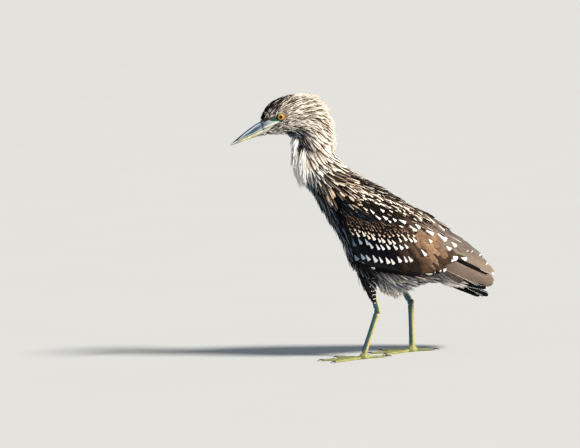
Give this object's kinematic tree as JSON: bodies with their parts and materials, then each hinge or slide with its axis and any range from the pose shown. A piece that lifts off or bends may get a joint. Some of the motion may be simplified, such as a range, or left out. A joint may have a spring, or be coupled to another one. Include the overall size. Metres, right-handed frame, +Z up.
{
  "type": "juvenile black-crowned night heron",
  "caption": "Still life-size figure of a young night heron wading with its neck half stretched, its bill pointing down and forward and its wings folded.",
  "frame": {"origin": "on the floor, under the middle of the bird's outline: halfway between the bill tip and the wing tips, and halfway between the outer claws", "axes": "+Z up, -X towards the bill, -Y towards the bird's left side"},
  "size_m": [0.4504, 0.1442, 0.468],
  "materials": {
    "plumage_pale": "soft pale feathers with brown streaks",
    "plumage_streaked": "soft buff and brown streaked feathers",
    "plumage_brown": "brown feathers with pale tip spots",
    "bill_upper": "slate-blue horn, satin",
    "bill_lower": "yellowish horn, satin",
    "eye": "wet orange iris with a black pupil",
    "leg": "greenish-yellow scaled skin, satin",
    "claw": "dark horn, satin"
  },
  "bodies": {
    "root": {"head": "plumage_streaked", "trunk": "plumage_streaked", "thigh_left": "plumage_streaked", "thigh_right": "plumage_streaked", "neck": "plumage_pale", "wing_left": "plumage_brown", "wing_right": "plumage_brown", "flight_feathers_left": "plumage_brown", "flight_feathers_right": "plumage_brown", "tail": "plumage_brown", "bill_upper": "bill_upper", "bill_lower": "bill_lower", "eye_left": "eye", "eye_right": "eye", "shank_left": "leg", "shank_right": "leg", "ankle_left": "leg", "ankle_right": "leg", "tarsus_left": "leg", "tarsus_right": "leg", "foot_left": "leg", "foot_right": "leg", "toe_inner_left": "leg", "toe_inner_right": "leg", "toe_middle_left": "leg", "toe_middle_right": "leg", "toe_outer_left": "leg", "toe_outer_right": "leg", "toe_hind_left": "leg", "toe_hind_right": "leg", "claw_inner_left": "claw", "claw_inner_right": "claw", "claw_middle_left": "claw", "claw_middle_right": "claw", "claw_outer_left": "claw", "claw_outer_right": "claw", "claw_hind_left": "claw", "claw_hind_right": "claw"}
  },
  "joints": []
}
